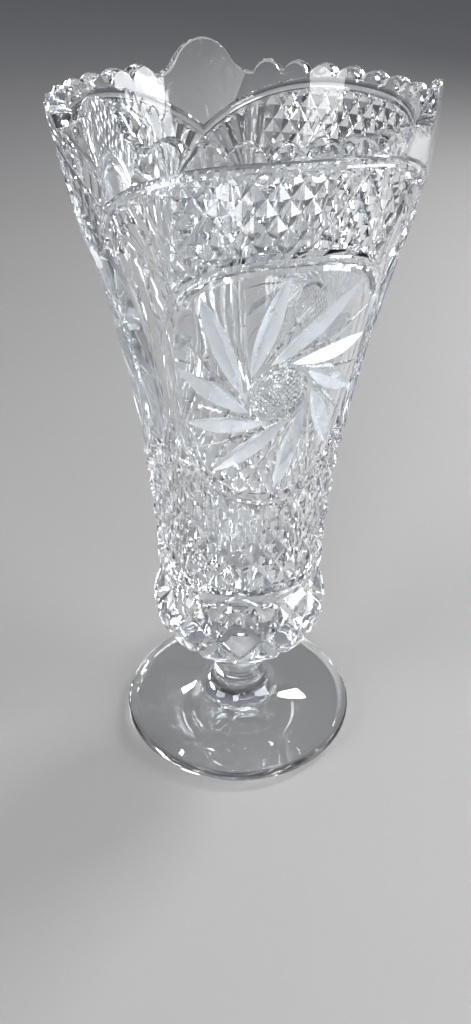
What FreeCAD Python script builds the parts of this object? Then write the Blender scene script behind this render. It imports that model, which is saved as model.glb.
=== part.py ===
import FreeCAD, Part
import math
import os
import Sketcher
from FreeCAD import Placement, Rotation, Vector

# Footed trumpet vase of cut lead crystal, 250 mm tall, with three-fold symmetry.
# Origin: centre of the foot's underside. +Z is up, and -Y faces the middle of one cut panel.
# Three pieces of glass: a domed foot, a short stem, and a thick bowl that swells to a bulb
# below and flares to a scalloped rim above. They are joined hot, face to face.

PANELS = 3
PANEL_ANGLE = 360 / PANELS
FIRST_TIP = 90  # azimuth of one pointed corner of the rim, in degrees from +X

doc = FreeCAD.newDocument("cut_crystal_vase")


# ---------------------------------------------------------------- driving dimensions

DIMENSIONS = [
    ("foot_flat_radius", 44.6, "ground flat on the underside of the foot"),
    ("foot_edge", 4.75, "height of the foot's rounded edge"),
    ("foot_edge_radius", 45.2, "where that edge turns inward"),
    ("foot_edge_round", 2.45, "radius of the rounded edge"),
    ("foot_dip", 3.6, "height of the foot just inside its edge"),
    ("foot_dip_radius", 42.4, "radius of that hollow"),
    ("foot_dome_sweep", 62.0, "radius of the curve that climbs from there"),
    ("foot_shoulder", 8.6, "height where the dome steepens"),
    ("foot_shoulder_radius", 19.0, "radius there"),
    ("foot_neck_sweep", 15.4, "radius of the steep curve up to the stem"),
    ("foot_top", 14.0, "where the stem stands on the foot"),
    ("foot_top_radius", 12.4, "width of that seat"),
    ("stem_foot_radius", 12.4, "bottom of the stem"),
    ("stem_waist", 25.5, "height of the stem's waist"),
    ("stem_waist_radius", 9.8, "narrowest part of the stem"),
    ("stem_low_sweep", 20.0, "radius of the hollow side below the waist"),
    ("stem_high_sweep", 42.0, "radius of the hollow side above the waist"),
    ("stem_top_radius", 12.8, "top of the stem"),
    ("bulb_base", 39.5, "where the bulb sits on the stem"),
    ("bulb_base_radius", 13.0, "flat under the bulb"),
    ("bulb_round", 20.5, "radius of the curve under the bulb"),
    ("bulb_middle", 60.0, "height of the bulb's widest part"),
    ("bulb_radius", 33.6, "radius there"),
    ("bulb_shoulder", 24.6, "radius of the curve above it"),
    ("neck_low", 74.6, "lower end of the groove above the bulb"),
    ("neck_high", 76.4, "upper end of that groove"),
    ("neck_radius", 28.8, "radius at the bottom of the groove"),
    ("body_low", 81.0, "where the body begins"),
    ("body_low_radius", 31.5, "radius there"),
    ("flare", 208.0, "where the flare starts to straighten"),
    ("flare_radius", 51.4, "radius there"),
    ("flare_sweep", 560.0, "radius of the long outward curve"),
    ("vase_height", 252.0, "top of the rim's pointed corners"),
    ("rim_radius", 59.4, "outside of the rim"),
    ("rim_sweep", 256.0, "radius of the curve below the rim"),
    ("well_floor", 54.0, "inside floor of the bowl"),
    ("well_floor_radius", 12.0, "flat part of that floor"),
    ("well_round", 11.0, "radius between floor and wall"),
    ("well_wall", 65.0, "where the inside wall begins"),
    ("well_wall_radius", 23.0, "radius there"),
    ("well_sweep", 590.0, "radius of the long inside curve"),
    ("well_flare_radius", 44.6, "inside radius where the flare starts to straighten"),
    ("well_rim_sweep", 385.0, "radius of the inside curve below the rim"),
    ("well_rim_radius", 53.8, "inside radius of the rim"),
    ("scallop_valley", 241.2, "bottom of the notches in the rim"),
    ("scallop_peak", 245.1, "top of the scallops"),
    ("scallop_half", 5.35, "half the width of one scallop"),
    ("scallop_round", 6.4, "radius of a scallop's shoulder"),
    ("scallop_clear", 6.2, "half the width of the tool that cuts a notch"),
    ("tip_half", 19.0, "half the width of a pointed corner"),
    ("tip_hollow_start", 18.4, "where its edge starts to climb"),
    ("tip_hollow", 9.4, "radius of the hollow part of its edge"),
    ("tip_bend", 10.4, "where its edge turns from hollow to round"),
    ("tip_bend_height", 245.9, "height of that point"),
    ("tip_round", 12.4, "radius of the round part of its edge"),
    ("facet_end", 222.0, "height where a corner facet runs out"),
    ("facet_low", 55.0, "distance of the facet from the axis there"),
    ("facet_top", 56.4, "its distance from the axis at the rim"),
    ("facet_width", 44.0, "width of the tool that grinds it"),
    ("cut_reach", 66.0, "how far from the axis the cutting tools reach"),
    ("cut_top", 258.0, "height that they reach"),
    ("hub_height", 167.0, "centre of a medallion's pinwheel"),
    ("hub_offset", 10.5, "distance from that centre to a petal's line"),
    ("medallion_height", 168.0, "centre of a medallion's frame"),
    ("medallion_half", 44.0, "half the height of its sunken field"),
    ("medallion_angle", 47.5, "half the angle that the field covers"),
    ("medallion_power", 2.5, "squareness of its outline, 2 for an ellipse"),
    ("field_depth", 1.0, "how far the field is sunk"),
    ("petal_start", 4.5, "where a petal begins, along its line"),
    ("petal_length", 37.0, "longest petal"),
    ("petal_width", 6.0, "width of a petal"),
    ("petal_depth", 2.0, "depth of a petal below the field"),
    ("petal_count", 10, "petals in a pinwheel"),
    ("petal_first", 77.0, "direction of the first petal, in degrees"),
]


def make_sheet():
    sheet = doc.addObject("Spreadsheet::Sheet", "Sheet")
    for row, (alias, value, meaning) in enumerate(DIMENSIONS, 1):
        sheet.set(f"A{row}", meaning)
        sheet.set(f"B{row}", str(value))
        sheet.setAlias(f"B{row}", alias)
    doc.recompute()
    return sheet


sheet = make_sheet()


def size(alias):
    """A driving dimension, read from the sheet; 0 stands for the axis or the floor."""
    return float(sheet.get(alias)) if alias else 0.0


# ---------------------------------------------------------------- sketch helpers

def origin_feature(body, role):
    return next(feature for feature in body.Origin.OriginFeatures if feature.Role == role)


def upright_sketch(body, name, turn=0.0):
    """A sketch standing on the axis, its X pointing out at azimuth `turn`.

    Seen from outside at azimuth `turn` - 90, the sketch faces the viewer.
    """
    sketch = body.newObject("Sketcher::SketchObject", name)
    sketch.AttachmentSupport = [(origin_feature(body, "XZ_Plane"), "")]
    sketch.MapMode = "FlatFace"
    sketch.AttachmentOffset = Placement(Vector(), Rotation(Vector(0, 1, 0), turn))
    return sketch


def bind(sketch, kind, geometry, end, alias, sign=1):
    """Hold one coordinate of a point, or a radius, to a cell of the sheet."""
    value = sign * size(alias)
    if kind == "Radius":
        index = sketch.addConstraint(Sketcher.Constraint(kind, geometry, value))
    elif not alias:
        axis = -2 if kind == "DistanceX" else -1
        sketch.addConstraint(Sketcher.Constraint("PointOnObject", geometry, end, axis))
        return
    else:
        index = sketch.addConstraint(Sketcher.Constraint(kind, geometry, end, value))
    prefix = "-" if sign < 0 else ""
    sketch.setExpression(f"Constraints[{index}]", f"{prefix}Sheet.{alias}")


def arc_between(start, finish, radius, side):
    """Arc from start to finish whose centre is to the left (side 1) or right (-1)."""
    chord = finish - start
    normal = Vector(-chord.y, chord.x, 0).normalize()
    reach = math.sqrt(radius ** 2 - (chord.Length / 2) ** 2)
    centre = (start + finish) / 2 + normal * (side * reach)
    first, last = (start, finish) if side > 0 else (finish, start)
    angles = [math.atan2(point.y - centre.y, point.x - centre.x) for point in (first, last)]
    return Part.ArcOfCircle(Part.Circle(centre, Vector(0, 0, 1), radius), *angles)


def draw_outline(sketch, corners, bends):
    """Closed outline through corners (X alias, Z alias, sign of X).

    `bends` maps a corner's index to the (radius alias, side) of the arc that leaves it;
    the other sides are straight.
    """
    points = [Vector(sign * size(x), size(z), 0) for x, z, sign in corners]
    ends = []
    for index, start in enumerate(points):
        finish = points[(index + 1) % len(points)]
        if index in bends:
            alias, side = bends[index]
            geometry = sketch.addGeometry(arc_between(start, finish, size(alias), side))
            bind(sketch, "Radius", geometry, 0, alias)
            ends.append((geometry, 1, 2) if side > 0 else (geometry, 2, 1))
        else:
            geometry = sketch.addGeometry(Part.LineSegment(start, finish))
            ends.append((geometry, 1, 2))
    for index, (x, z, sign) in enumerate(corners):
        geometry, first, _ = ends[index]
        before, _, last = ends[index - 1]
        sketch.addConstraint(Sketcher.Constraint("Coincident", before, last, geometry, first))
        bind(sketch, "DistanceX", geometry, first, x, sign)
        bind(sketch, "DistanceY", geometry, first, z)


def around(corners):
    """Corners of an outline on the positive side of the axis."""
    return [(radius, height, 1) for radius, height in corners]


def turn_solid(body, kind, name, corners, bends):
    """Revolution or Groove of an outline about the vase's axis."""
    sketch = upright_sketch(body, name + "Outline")
    draw_outline(sketch, around(corners), bends)
    feature = body.newObject(f"PartDesign::{kind}", name)
    feature.Profile = sketch
    feature.ReferenceAxis = (sketch, ["V_Axis"])
    feature.Angle = 360
    doc.recompute()
    return feature


def repeat_round_axis(body, feature, name, count, angle):
    pattern = body.newObject("PartDesign::PolarPattern", name)
    pattern.Originals = [feature]
    pattern.Axis = (origin_feature(body, "Z_Axis"), [""])
    pattern.Angle = angle
    pattern.Occurrences = count
    body.Tip = pattern
    doc.recompute()
    return pattern


def grind(body, name, corners, bends, turn, depth, both_ways=False):
    """Pocket of an upright outline, cut outward from the axis or to both sides of it."""
    sketch = upright_sketch(body, name + "Outline", turn)
    draw_outline(sketch, corners, bends)
    pocket = body.newObject("PartDesign::Pocket", name)
    pocket.Profile = sketch
    pocket.Midplane = both_ways
    pocket.Reversed = not both_ways
    pocket.setExpression("Length", f"Sheet.{depth}")
    doc.recompute()
    return pocket


# ---------------------------------------------------------------- foot and stem

def make_foot():
    body = doc.addObject("PartDesign::Body", "Foot")
    body.Label = "foot"
    corners = [
        ("", ""), ("foot_flat_radius", ""), ("foot_edge_radius", "foot_edge"),
        ("foot_dip_radius", "foot_dip"), ("foot_shoulder_radius", "foot_shoulder"),
        ("foot_top_radius", "foot_top"), ("", "foot_top"),
    ]
    bends = {
        1: ("foot_edge_round", 1), 3: ("foot_dome_sweep", -1), 4: ("foot_neck_sweep", -1),
    }
    turn_solid(body, "Revolution", "FootDisc", corners, bends)
    return body


def make_stem():
    body = doc.addObject("PartDesign::Body", "Stem")
    body.Label = "stem"
    corners = [
        ("", "foot_top"), ("stem_foot_radius", "foot_top"), ("stem_waist_radius", "stem_waist"),
        ("stem_top_radius", "bulb_base"), ("", "bulb_base"),
    ]
    bends = {1: ("stem_low_sweep", -1), 2: ("stem_high_sweep", -1)}
    turn_solid(body, "Revolution", "StemWaist", corners, bends)
    return body


# ---------------------------------------------------------------- bowl: wall, rim, facets

def make_bowl_wall(body):
    outside = [
        ("", "bulb_base"), ("bulb_base_radius", "bulb_base"), ("bulb_radius", "bulb_middle"),
        ("neck_radius", "neck_low"), ("neck_radius", "neck_high"),
        ("body_low_radius", "body_low"), ("flare_radius", "flare"),
        ("rim_radius", "vase_height"), ("", "vase_height"),
    ]
    bends = {
        1: ("bulb_round", 1), 2: ("bulb_shoulder", 1),
        5: ("flare_sweep", -1), 6: ("rim_sweep", 1),
    }
    turn_solid(body, "Revolution", "Outside", outside, bends)
    inside = [
        ("", "well_floor"), ("well_floor_radius", "well_floor"),
        ("well_wall_radius", "well_wall"), ("well_flare_radius", "flare"),
        ("well_rim_radius", "vase_height"), ("well_rim_radius", "cut_top"), ("", "cut_top"),
    ]
    bends = {1: ("well_round", 1), 2: ("well_sweep", -1), 3: ("well_rim_sweep", 1)}
    turn_solid(body, "Groove", "Well", inside, bends)


def grind_corner_facets(body):
    """One broad flat facet below each pointed corner of the rim."""
    corners = around([
        ("facet_low", "facet_end"), ("cut_reach", "facet_end"), ("cut_reach", "cut_top"),
        ("facet_top", "cut_top"), ("facet_top", "vase_height"),
    ])
    facet = grind(body, "CornerFacet", corners, {}, FIRST_TIP, "facet_width", both_ways=True)
    repeat_round_axis(body, facet, "CornerFacets", PANELS, 360)


def grind_tips(body):
    """The rim's pointed corners: a round peak between two hollow flanks."""
    corners = [
        ("tip_half", "scallop_valley", -1), ("tip_hollow_start", "scallop_valley", -1),
        ("tip_bend", "tip_bend_height", -1), ("", "vase_height", 1),
        ("tip_bend", "tip_bend_height", 1), ("tip_hollow_start", "scallop_valley", 1),
        ("tip_half", "scallop_valley", 1), ("tip_half", "cut_top", 1),
        ("tip_half", "cut_top", -1),
    ]
    bends = {
        1: ("tip_hollow", 1), 2: ("tip_round", -1), 3: ("tip_round", -1), 4: ("tip_hollow", 1),
    }
    tip = grind(body, "Tip", corners, bends, FIRST_TIP + 90, "cut_reach")
    repeat_round_axis(body, tip, "Tips", PANELS, 360)


def grind_scallops(body):
    """Notches between the scallops, in the stretch of rim between two pointed corners."""
    corners = [
        ("scallop_clear", "cut_top", -1), ("scallop_clear", "scallop_peak", -1),
        ("scallop_half", "scallop_peak", -1), ("", "scallop_valley", 1),
        ("scallop_half", "scallop_peak", 1), ("scallop_clear", "scallop_peak", 1),
        ("scallop_clear", "cut_top", 1),
    ]
    bends = {2: ("scallop_round", -1), 3: ("scallop_round", -1)}
    tip_angle = math.degrees(math.asin(size("tip_half") / size("rim_radius")))
    run = PANEL_ANGLE - 2 * tip_angle
    pitch = 2 * math.degrees(math.asin(size("scallop_half") / size("rim_radius")))
    notches = round(run / pitch) + 1
    for panel in range(PANELS):
        first = FIRST_TIP + panel * PANEL_ANGLE + tip_angle
        notch = grind(body, f"Notch{panel + 1}", corners, bends, first + 90, "cut_reach")
        repeat_round_axis(body, notch, f"Notches{panel + 1}", notches, run)


# ---------------------------------------------------------------- bowl: cut medallions

def outer_radius(height):
    """Radius of the bowl's outside at a height in the body."""
    low = Vector(size("body_low_radius"), size("body_low"), 0)
    middle = Vector(size("flare_radius"), size("flare"), 0)
    high = Vector(size("rim_radius"), size("vase_height"), 0)
    if height < middle.y:
        centre = arc_between(low, middle, size("flare_sweep"), -1).Center
        return centre.x - math.sqrt(size("flare_sweep") ** 2 - (height - centre.y) ** 2)
    centre = arc_between(middle, high, size("rim_sweep"), 1).Center
    return centre.x + math.sqrt(size("rim_sweep") ** 2 - (height - centre.y) ** 2)


def on_front(angle, height, depth=0.0):
    """A point on the front panel, `angle` degrees to the right of its middle."""
    radius = outer_radius(height) - depth
    swing = math.radians(angle)
    return Vector(radius * math.sin(swing), -radius * math.cos(swing), height)


def medallion_outline(count=24):
    """Points round the sunken field, as (angle, height): a squared-off ellipse."""
    power = 2 / size("medallion_power")
    points = []
    for step in range(count):
        turn = 2 * math.pi * step / count
        across = math.copysign(abs(math.cos(turn)) ** power, math.cos(turn))
        up = math.copysign(abs(math.sin(turn)) ** power, math.sin(turn))
        points.append((
            size("medallion_angle") * across,
            size("medallion_height") + size("medallion_half") * up,
        ))
    return points


def medallion_field():
    """Tool that sinks a medallion's field: a thin skin of the wall inside its outline."""
    outline = [on_front(angle, height) for angle, height in medallion_outline()]
    flat = [Vector(point.x, 0, point.z) for point in outline]
    curve = Part.BSplineCurve()
    curve.interpolate(flat, PeriodicFlag=True)
    prism = Part.Face(Part.Wire(curve.toShape())).extrude(Vector(0, -size("cut_reach"), 0))
    steps = 12
    low = size("medallion_height") - size("medallion_half") - 2
    high = size("medallion_height") + size("medallion_half") + 2
    heights = [low + (high - low) * step / steps for step in range(steps + 1)]
    wall = Part.BSplineCurve()
    depth = size("field_depth")
    wall.interpolate([Vector(outer_radius(height) - depth, 0, height) for height in heights])
    top_inner, low_inner = wall.EndPoint, wall.StartPoint
    reach = size("cut_reach")
    ring = Part.Wire([
        wall.toShape(),
        Part.LineSegment(top_inner, Vector(reach, 0, high)).toShape(),
        Part.LineSegment(Vector(reach, 0, high), Vector(reach, 0, low)).toShape(),
        Part.LineSegment(Vector(reach, 0, low), low_inner).toShape(),
    ])
    skin = Part.Face(ring).revolve(Vector(), Vector(0, 0, 1), 360)
    return prism.common(skin)


def inside_field(across, height):
    half = size("medallion_half")
    angle = math.degrees(across / outer_radius(height))
    power = size("medallion_power")
    reach = abs(angle / size("medallion_angle")) ** power
    reach += abs((height - size("medallion_height")) / half) ** power
    return reach < 0.93


def petal_tool(direction):
    """V-shaped tool for one petal: a run of triangles, deepest in the middle."""
    along = Vector(math.cos(direction), math.sin(direction), 0)
    left = Vector(-along.y, along.x, 0)
    centre = left * size("hub_offset") + Vector(0, size("hub_height"), 0)

    def at(distance, sideways, depth):
        spot = centre + along * distance + left * sideways
        return on_front(math.degrees(spot.x / outer_radius(spot.y)), spot.y, depth)

    start = size("petal_start")
    length = size("petal_length")
    while length > start:
        tip = centre + along * (start + length)
        if inside_field(tip.x, tip.y):
            break
        length -= 0.5
    sections = []
    steps = 6
    proud = 1.2
    for step in range(steps + 1):
        part = 0.02 + 0.96 * step / steps
        swell = math.sin(math.pi * part) ** 0.8
        deep = size("field_depth") + size("petal_depth") * swell
        spread = size("petal_width") / 2 * swell * (deep + proud) / (size("petal_depth") * swell)
        distance = start + length * part
        corners = [at(distance, 0, deep), at(distance, spread, -proud), at(distance, -spread, -proud)]
        sections.append(Part.makePolygon(corners + corners[:1]))
    return Part.makeLoft(sections, True, False)


def cut_medallions(blank):
    """The three medallions cut into the blank, as one compound of tools."""
    count = int(size("petal_count"))
    tools = [medallion_field()]
    for number in range(count):
        turn = math.radians(size("petal_first") + 360 * number / count)
        tools.append(petal_tool(turn))
    every = []
    for panel in range(PANELS):
        for tool in tools:
            placed = tool.copy()
            placed.rotate(Vector(), Vector(0, 0, 1), panel * PANEL_ANGLE)
            every.append(placed)
    cutters = doc.addObject("Part::Feature", "MedallionTools")
    cutters.Shape = Part.Compound(every)
    bowl = doc.addObject("Part::Cut", "Bowl")
    bowl.Label = "bowl"
    bowl.Base = blank
    bowl.Tool = cutters
    doc.recompute()
    return bowl


def make_bowl():
    blank = doc.addObject("PartDesign::Body", "BowlBlank")
    make_bowl_wall(blank)
    grind_corner_facets(blank)
    grind_tips(blank)
    grind_scallops(blank)
    return cut_medallions(blank)


# ---------------------------------------------------------------- write the pieces

def check_document():
    for thing in doc.Objects:
        if "Invalid" in thing.State or "Error" in thing.State:
            raise RuntimeError(f"{thing.Name} failed: {thing.State}")


def write_pieces(pieces):
    for piece in pieces:
        if piece.Shape.isNull() or not piece.Shape.isValid():
            raise RuntimeError(f"{piece.Label} has no valid shape")
    os.makedirs("parts", exist_ok=True)
    for piece in pieces:
        shape = piece.Shape
        box = shape.BoundBox
        print(f"{piece.Label}: {len(shape.Solids)} solid, {shape.Volume / 1000:.1f} cm3, "
              f"{box.XLength:.1f} x {box.YLength:.1f} x {box.ZLength:.1f} mm")
        shape.exportStep(f"parts/{piece.Label}.step")


pieces = [make_foot(), make_stem(), make_bowl()]
doc.recompute()
check_document()
write_pieces(pieces)
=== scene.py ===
import math

import bmesh
import bpy
from mathutils import Matrix, Vector
from mathutils.geometry import delaunay_2d_cdt


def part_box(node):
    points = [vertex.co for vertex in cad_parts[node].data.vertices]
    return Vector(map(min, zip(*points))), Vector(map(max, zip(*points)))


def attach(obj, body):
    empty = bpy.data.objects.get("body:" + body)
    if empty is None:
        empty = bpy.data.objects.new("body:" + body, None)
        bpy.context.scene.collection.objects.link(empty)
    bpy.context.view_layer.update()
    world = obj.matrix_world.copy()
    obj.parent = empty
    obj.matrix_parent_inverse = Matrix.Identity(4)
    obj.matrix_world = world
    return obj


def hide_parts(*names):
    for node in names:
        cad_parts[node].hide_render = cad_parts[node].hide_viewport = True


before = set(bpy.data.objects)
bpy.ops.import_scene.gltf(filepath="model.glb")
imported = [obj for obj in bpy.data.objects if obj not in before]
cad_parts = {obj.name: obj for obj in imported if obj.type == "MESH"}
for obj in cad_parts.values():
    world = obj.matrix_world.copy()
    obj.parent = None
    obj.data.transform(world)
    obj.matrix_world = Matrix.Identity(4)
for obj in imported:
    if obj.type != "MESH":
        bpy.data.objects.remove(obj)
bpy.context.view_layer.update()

# A footed trumpet vase of cut lead crystal. The bowl's outside is laid out flat, one panel
# of 120 degrees at a time: `swing` is the angle from the middle of the panel and `climb` the
# distance up the profile from the bottom of the bulb. Every groove, facet and hollow is a
# line or a depth on that flat sheet, which is then cut into triangles along the creases,
# wrapped round the profile and repeated three times. Lengths are in millimetres until the
# points are placed, and in metres after that.

MM = 0.001
PANELS = 3
PANEL_ANGLE = 360 / PANELS
HALF_PANEL = PANEL_ANGLE / 2
FRONT = -90  # azimuth of the middle of the first panel
DEGREE = math.pi / 180

# ---------------------------------------------------------------- profile of the bowl

BASE_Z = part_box("bowl")[0].z / MM
TOP_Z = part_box("bowl")[1].z / MM
BULB_MIDDLE, NECK_LOW, NECK_HIGH, BODY_LOW, FLARE = 60.0, 74.6, 76.4, 81.0, 208.0
BULB_BASE_RADIUS, BULB_RADIUS, NECK_RADIUS = 13.0, 33.6, 28.8
BODY_RADIUS, FLARE_RADIUS, RIM_RADIUS = 31.5, 51.4, 59.4
WELL_FLOOR, WELL_WALL = 54.0, 65.0
WELL_FLOOR_RADIUS, WELL_WALL_RADIUS = 12.0, 23.0
WELL_FLARE_RADIUS, WELL_RIM_RADIUS = 44.6, 53.8
# Radii of the arcs that join those points, from the bottom up.
BULB_UNDER_SWEEP, BULB_SHOULDER_SWEEP, BODY_SWEEP, RIM_SWEEP = 20.5, 24.6, 560.0, 256.0
WELL_ROUND, WELL_SWEEP, WELL_RIM_SWEEP = 11.0, 590.0, 385.0


class Run:
    """One stretch of a profile, from start to finish as (radius, height).

    It is straight, or an arc whose centre is to the left (side 1) or right (side -1).
    """

    def __init__(self, start, finish, radius=None, side=1):
        self.start = Vector(start)
        self.finish = Vector(finish)
        self.radius = radius
        self.side = side
        chord = self.finish - self.start
        if radius is None:
            self.length = chord.length
            return
        normal = Vector((-chord.y, chord.x)).normalized()
        reach = math.sqrt(radius ** 2 - (chord.length / 2) ** 2)
        self.centre = (self.start + self.finish) / 2 + normal * side * reach
        spoke = self.start - self.centre
        self.first = math.atan2(spoke.y, spoke.x)
        self.turn = 2 * math.asin(chord.length / 2 / radius) * side
        self.length = abs(self.turn) * radius

    def at(self, distance):
        """Point and unit normal on the right-hand side, `distance` along the run."""
        if self.radius is None:
            along = (self.finish - self.start).normalized()
            return self.start + along * distance, Vector((along.y, -along.x))
        angle = self.first + self.turn * distance / self.length
        spoke = Vector((math.cos(angle), math.sin(angle)))
        return self.centre + spoke * self.radius, spoke * self.side

    def distance_at(self, height):
        """How far along the run it reaches a height."""
        if self.radius is None:
            share = (height - self.start.y) / (self.finish.y - self.start.y)
            return share * self.length
        sine = (height - self.centre.y) / self.radius
        rise = math.asin(max(-1, min(1, sine)))
        angle = rise if self.side > 0 else math.pi - rise
        turned = (angle - self.first + math.pi) % (2 * math.pi) - math.pi
        return turned / self.turn * self.length


OUTSIDE = [
    Run((BULB_BASE_RADIUS, BASE_Z), (BULB_RADIUS, BULB_MIDDLE), BULB_UNDER_SWEEP, 1),
    Run((BULB_RADIUS, BULB_MIDDLE), (NECK_RADIUS, NECK_LOW), BULB_SHOULDER_SWEEP, 1),
    Run((NECK_RADIUS, NECK_LOW), (NECK_RADIUS, NECK_HIGH)),
    Run((NECK_RADIUS, NECK_HIGH), (BODY_RADIUS, BODY_LOW)),
    Run((BODY_RADIUS, BODY_LOW), (FLARE_RADIUS, FLARE), BODY_SWEEP, -1),
    Run((FLARE_RADIUS, FLARE), (RIM_RADIUS, TOP_Z), RIM_SWEEP, 1),
]
INSIDE = [
    Run((WELL_FLOOR_RADIUS, WELL_FLOOR), (WELL_WALL_RADIUS, WELL_WALL), WELL_ROUND, 1),
    Run((WELL_WALL_RADIUS, WELL_WALL), (WELL_FLARE_RADIUS, FLARE), WELL_SWEEP, -1),
    Run((WELL_FLARE_RADIUS, FLARE), (WELL_RIM_RADIUS, TOP_Z), WELL_RIM_SWEEP, 1),
]


def along(profile, distance):
    """Point and normal at a distance along a whole profile."""
    for run in profile:
        if distance <= run.length or run is profile[-1]:
            return run.at(distance)
        distance -= run.length


def climb_at(height, profile=OUTSIDE):
    """Distance along the profile to a height."""
    passed = 0.0
    for run in profile:
        if height <= run.finish.y or run is profile[-1]:
            return passed + run.distance_at(height)
        passed += run.length


def radius_at(climb):
    return along(OUTSIDE, climb)[0].x


def height_at(climb):
    return along(OUTSIDE, climb)[0].y


def across(swing_change, climb):
    """Millimetres round the bowl for a change of swing, at a climb."""
    return swing_change * DEGREE * radius_at(climb)


# ---------------------------------------------------------------- scalloped rim

VALLEY, PEAK = 241.2, 245.1                 # heights of the notches and of the scallops
SCALLOP_HALF, SCALLOP_ROUND = 5.35, 6.4     # half a scallop's width and its edge's radius
SCALLOPS = 8                                # in each panel, between two pointed corners
TIP_HALF = 19.0                             # half the width of a pointed corner
TIP_HOLLOW_START, TIP_HOLLOW = 18.4, 9.4    # its hollow flank starts here, with this radius
TIP_BEND, TIP_BEND_Z = 10.4, 245.9          # where that flank turns into the rounded tip
TIP_ROUND = 12.4
SCALLOP_STEPS, TIP_STEPS = 7, 20            # points along half a scallop and half a tip

TIP_ANGLE = math.asin(TIP_HALF / RIM_RADIUS) / DEGREE
SCALLOP_ANGLE = (PANEL_ANGLE - 2 * TIP_ANGLE) / SCALLOPS
SCALLOP_EDGE = Run((0, VALLEY), (SCALLOP_HALF, PEAK), SCALLOP_ROUND, -1)
TIP_EDGE = [
    Run((TIP_BEND, TIP_BEND_Z), (0, TOP_Z), TIP_ROUND, 1),
    Run((TIP_HOLLOW_START, VALLEY), (TIP_BEND, TIP_BEND_Z), TIP_HOLLOW, -1),
]


def height_over(run, width):
    """Height of an arc over a point of its own base line."""
    rise = math.sqrt(max(0.0, run.radius ** 2 - (width - run.centre.x) ** 2))
    return run.centre.y + rise * (1 if run.centre.y < run.finish.y else -1)


def rim_height(swing):
    """Height of the rim's edge at a swing from the middle of a panel."""
    from_tip = HALF_PANEL - abs(swing)
    if from_tip < TIP_ANGLE:
        width = RIM_RADIUS * math.sin(from_tip * DEGREE)
        if width >= TIP_HOLLOW_START:
            return VALLEY
        edge = TIP_EDGE[0] if width < TIP_BEND else TIP_EDGE[1]
        return height_over(edge, width)
    place = (from_tip - TIP_ANGLE) / SCALLOP_ANGLE
    width = abs(place - round(place)) * 2 * SCALLOP_HALF
    return height_over(SCALLOP_EDGE, min(width, SCALLOP_HALF))


def rim_swings():
    """Swings at which the rim's edge gets a point, close together where it bends."""
    swings = []
    for number in range(SCALLOPS * 2):
        start = -HALF_PANEL + TIP_ANGLE + number * SCALLOP_ANGLE / 2
        swings += [
            start + SCALLOP_ANGLE / 2 * step / SCALLOP_STEPS for step in range(SCALLOP_STEPS)
        ]
    swings.append(HALF_PANEL - TIP_ANGLE)
    for step in range(TIP_STEPS + 1):
        width = TIP_HOLLOW_START * step / TIP_STEPS
        from_tip = math.asin(width / RIM_RADIUS) / DEGREE
        swings += [HALF_PANEL - from_tip, from_tip - HALF_PANEL]
    return sorted(set(round(swing, 6) for swing in swings))


# ---------------------------------------------------------------- cutting pattern

EDGE_DEPTH, EDGE_SLOPE = 1.8, 0.8   # mitre grooves that bound each field
TOP_GAP = 0.05          # how far the tops of the diamonds lie under the blank's surface
FIELD_DEPTH = 0.9       # sunken field of a medallion

# A corner facet starts at this height; it is a plane, this far from the axis there and
# at the rim.
FACET_END, FACET_LOW, FACET_TOP = 222.0, 55.0, 56.4

# The hollow band under the rim: its upper edge, then (share of its width, depth) across it.
ARC_TOP, ARC_DROP, ARC_POWER = 240.8, 17.0, 2.6
ARC_LEAN = 0.9          # distance square to the arc, for each millimetre of height below it
BAND = [(0.0, 0.0), (0.12, 0.5), (0.3, 0.85), (0.5, 0.95), (0.7, 0.85), (0.88, 0.6)]
BAND_WIDTH = 3.6

# The bead that frames a medallion, as (value of frame_ring, depth) from the outside in.
FRAME_SWING, FRAME_HALF, FRAME_Z, FRAME_POWER = 51.0, 46.5, 168.0, 2.5
FRAME_REACH = 42        # millimetres to the outline for a change of 1 in frame_ring
BEAD = [(0.978, 0.45), (0.964, 0.12), (0.95, 0.0), (0.936, 0.12), (0.922, 0.45), (0.90, 1.7)]
BEAD_FOOT = 0.872       # where the bead's inner groove meets the sunken field

# A fan of flutes on each shoulder of a medallion: its foot, and the directions it spans.
FAN_SWING, FAN_Z = 41.0, 202.0
FAN_FIRST, FAN_LAST, FAN_FLUTES = -9.0, 48.0, 5
FLUTE_SLOPE = 0.5
FLUTE_START, FLUTE_END, FLUTE_STEP = 0.8, 44.0, 1.5

# Upright flutes between medallions, at these swings, with ridges halfway between them.
STRIP_LOW, STRIP_HIGH = 137.0, 222
STRIP_GROOVES, STRIP_RIDGE = (57.0, 51.0, 45.0), 3
STRIP_DEPTH, STRIP_SLOPE = 1.5, 0.62
STRIP_SHARE = 0.8       # they start at this share of the frame's width
STRIP_EDGE = 40         # swing from which a groove closes them off at the bottom
STRIP_LEAN = 0.001      # that groove's rise, so that it isn't lost between the two fields

UPPER_LOW, UPPER_REACH = 205.0, 42.0
LOWER_END, LOWER_LIP = 83.0, 81.6
HUB_Z, HUB_RADIUS = 167.0, 8.8


def arc_height(swing):
    """Upper edge of the hollow band under the rim."""
    return ARC_TOP - ARC_DROP * (abs(swing) / HALF_PANEL) ** ARC_POWER


def facet_reach(height):
    """Distance of a flat corner facet from the axis, at a height."""
    share = (height - FACET_END) / (TOP_Z - FACET_END)
    return FACET_LOW + (FACET_TOP - FACET_LOW) * share


def facet_depth(swing, climb):
    """How far a flat corner facet lies under the round blank."""
    point = along(OUTSIDE, climb)[0]
    if point.y < FACET_END:
        return 0.0
    flat = facet_reach(point.y)
    return max(0.0, point.x - flat / math.cos((HALF_PANEL - abs(swing)) * DEGREE))


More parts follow.
